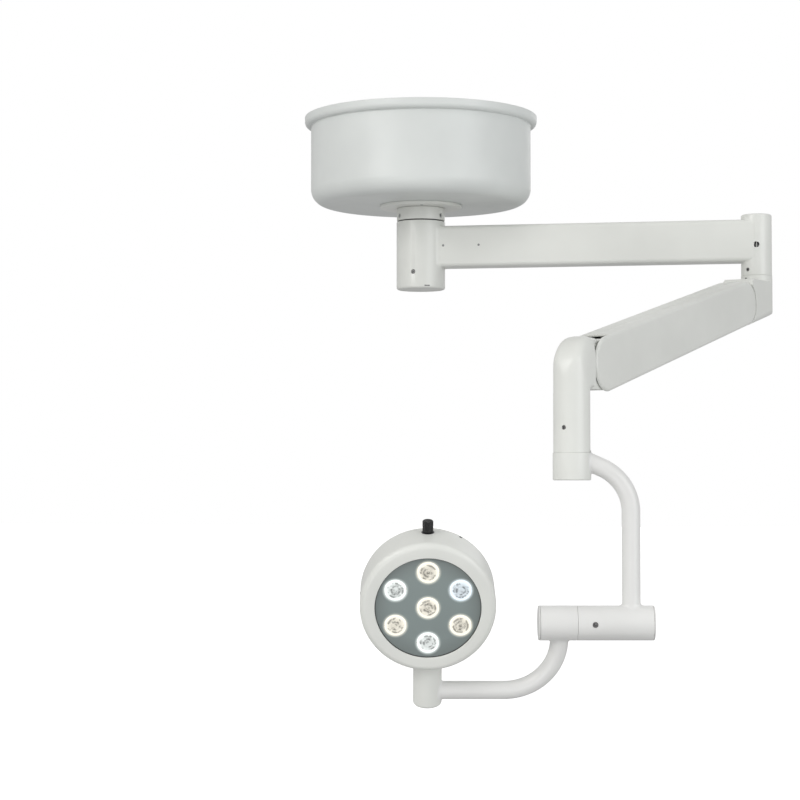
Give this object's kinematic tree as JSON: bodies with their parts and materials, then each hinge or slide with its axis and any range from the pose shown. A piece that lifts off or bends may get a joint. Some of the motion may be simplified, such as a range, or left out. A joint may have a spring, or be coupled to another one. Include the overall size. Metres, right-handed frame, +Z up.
{
  "type": "surgical light",
  "caption": "Ceiling-mounted surgical light with a horizontal swivel arm, a spring-balanced arm, bent suspension tubes and a round LED head.",
  "frame": {"origin": "centre of the ceiling plate's upper face, where it meets the ceiling", "axes": "+Z up into the ceiling, along the main swivel axis; +X along the horizontal arm, from the ceiling post to the end hub"},
  "size_m": [0.8575, 1.0332, 1.0129],
  "materials": {
    "white_paint": "satin",
    "canopy_white": "gloss",
    "steel": "brushed",
    "dark_steel": "blackened",
    "aluminium": "bead-blasted",
    "bronze": "sintered",
    "nylon": "matt",
    "grey_panel": "satin",
    "clear_lens": "clear, lit",
    "black_plastic": "ribbed, satin",
    "box_plastic": "matt",
    "board": "white solder mask"
  },
  "bodies": {
    "ceiling_mount": {"ceiling_plate": "steel", "anchor_bolt_1": "steel", "anchor_bolt_2": "steel", "anchor_bolt_3": "steel", "anchor_bolt_4": "steel", "canopy_shell": "canopy_white", "canopy_ring": "white_paint", "down_tube": "steel", "fixed_collar": "white_paint", "spindle": "steel", "seam_washer": "nylon", "driver_box": "box_plastic"},
    "main_arm": {"arm_post": "white_paint", "arm_beam": "white_paint", "arm_end_hub": "white_paint", "post_bush": "bronze", "post_bottom_cap": "white_paint", "end_hub_cap": "white_paint", "post_brake_screw": "dark_steel", "end_brake_screw": "dark_steel", "hub_bush": "bronze"},
    "knuckle": {"root_knuckle": "white_paint", "root_pin": "steel", "root_tie_pin": "steel"},
    "spring_arm": {"cover_near": "white_paint", "cover_far": "white_paint", "arm_channel": "white_paint", "coil_spring": "dark_steel", "spring_rod": "steel", "spring_seat": "steel"},
    "tie_rod": {"tie_rod": "steel"},
    "yoke": {"yoke": "white_paint", "yoke_pin": "steel", "yoke_tie_pin": "steel", "yoke_brake_screw": "dark_steel"},
    "upper_tube": {"swivel_collar": "white_paint", "upper_bent_tube": "white_paint", "fixed_sleeve": "white_paint", "fixed_sleeve_cap": "white_paint", "sleeve_brake_screw": "dark_steel"},
    "lower_tube": {"pivot_sleeve": "white_paint", "pivot_sleeve_cap": "white_paint", "pivot_shaft": "steel", "lower_bent_tube": "white_paint", "head_socket": "white_paint"},
    "head": {"head_stem": "white_paint", "head_housing": "white_paint", "rear_cover": "white_paint", "lens_panel": "grey_panel", "led_lens_1": "clear_lens", "led_lens_2": "clear_lens", "led_lens_3": "clear_lens", "led_lens_4": "clear_lens", "led_lens_5": "clear_lens", "led_lens_6": "clear_lens", "led_lens_7": "clear_lens", "led_board": "board", "heat_sink": "aluminium", "dimmer_potentiometer": "dark_steel"},
    "dimmer_knob": {"dimmer_knob": "black_plastic"}
  },
  "joints": [
    {"name": "ceiling_swivel", "type": "hinge", "parent": "ceiling_mount", "child": "main_arm", "pos_m": [0, 0, -0.25], "axis": [0, 0, 1], "range_deg": [-170, 170]},
    {"name": "arm_swivel", "type": "hinge", "parent": "main_arm", "child": "knuckle", "pos_m": [0.6142, 0, -0.306], "axis": [0, 0, 1], "range_deg": [-38.85, 261.15]},
    {"name": "spring_arm_pitch", "type": "hinge", "parent": "knuckle", "child": "spring_arm", "pos_m": [0.57451, -0.10259, -0.364], "axis": [-0.9326, 0.3608, 0], "range_deg": [-31.87, 38.13]},
    {"name": "tie_rod_pitch", "type": "hinge", "parent": "knuckle", "child": "tie_rod", "pos_m": [0.57451, -0.10259, -0.342], "axis": [-0.9326, 0.3608, 0], "range_deg": [-31.87, 38.13]},
    {"name": "yoke_level", "type": "hinge", "parent": "spring_arm", "child": "yoke", "pos_m": [0.36885, -0.63419, -0.49696], "axis": [-0.9326, 0.3608, 0], "range_deg": [-38.13, 31.87]},
    {"name": "suspension_swivel", "type": "hinge", "parent": "yoke", "child": "upper_tube", "pos_m": [0.34341, -0.69995, -0.632], "axis": [0, 0, 1], "range_deg": [-165, 165]},
    {"name": "head_tilt", "type": "hinge", "parent": "upper_tube", "child": "lower_tube", "pos_m": [0.34341, -0.69995, -0.884], "axis": [0.9848, 0.1736, 0], "range_deg": [-78.65, 71.35]},
    {"name": "head_swivel", "type": "hinge", "parent": "lower_tube", "child": "head", "pos_m": [0.12851, -0.71641, -0.94653], "axis": [0.0555, -0.3149, 0.9475], "range_deg": [-165, 165]},
    {"name": "dimmer_turn", "type": "hinge", "parent": "head", "child": "dimmer_knob", "pos_m": [0.1377, -0.76852, -0.74909], "axis": [0.0555, -0.3149, 0.9475], "range_deg": [0, 270]}
  ],
  "couplings": [
    {"joint": "tie_rod_pitch", "follows": "spring_arm_pitch", "ratio": 1},
    {"joint": "yoke_level", "follows": "spring_arm_pitch", "ratio": -1}
  ]
}
